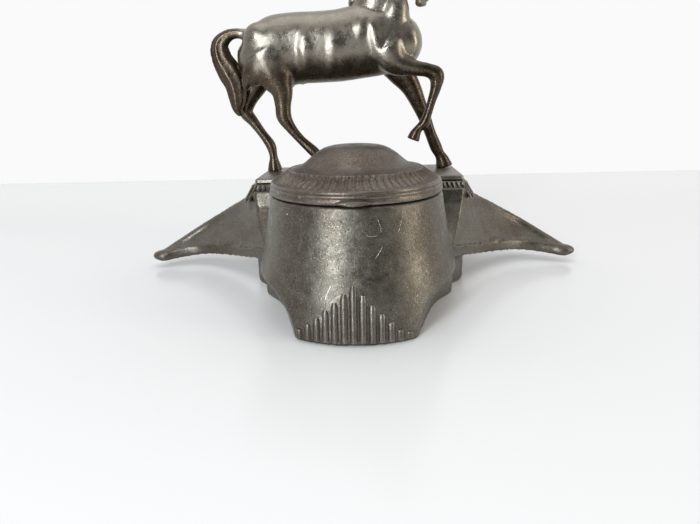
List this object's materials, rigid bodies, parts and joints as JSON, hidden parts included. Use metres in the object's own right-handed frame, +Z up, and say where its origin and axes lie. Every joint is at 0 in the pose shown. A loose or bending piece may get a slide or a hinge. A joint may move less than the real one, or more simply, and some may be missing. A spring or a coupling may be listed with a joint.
{
  "type": "inkwell",
  "caption": "Desk inkwell with a hinged dome lid over a lift-out liner, two winged pen trays and a prancing horse figure on a plinth.",
  "frame": {"origin": "on the table, at the middle of the base's length and depth", "axes": "+X the way the horse faces, -Y the front where the ink pot stands, +Z up"},
  "size_m": [0.2024, 0.1293, 0.1488],
  "materials": {
    "bronzed_spelter": "dark bronze patina on cast zinc, satin, worn bright on the edges",
    "plate_spelter": "dark patinated cast zinc, matt",
    "horse_spelter": "glossier brown bronze patina on cast zinc",
    "porcelain": "glossy white glaze",
    "steel": "dull drawn steel",
    "brass": "dull brass"
  },
  "bodies": {
    "base": {"base_casting": "bronzed_spelter", "figure_plate": "plate_spelter", "hinge_pin": "steel", "ink_liner": "porcelain", "horse_body": "horse_spelter", "horse_near_foreleg": "horse_spelter", "horse_far_foreleg": "horse_spelter", "horse_near_hind_leg": "horse_spelter", "horse_far_hind_leg": "horse_spelter", "horse_tail": "horse_spelter", "figure_screw_1": "brass", "figure_washer_1": "steel", "figure_screw_2": "brass", "figure_washer_2": "steel", "figure_screw_3": "brass", "figure_washer_3": "steel"},
    "lid": {"lid": "bronzed_spelter"}
  },
  "joints": [
    {"name": "lid_hinge", "type": "hinge", "parent": "base", "child": "lid", "pos_m": [0, 0.00715, 0.04415], "axis": [-1, 0, 0], "range_deg": [0, 95]}
  ]
}
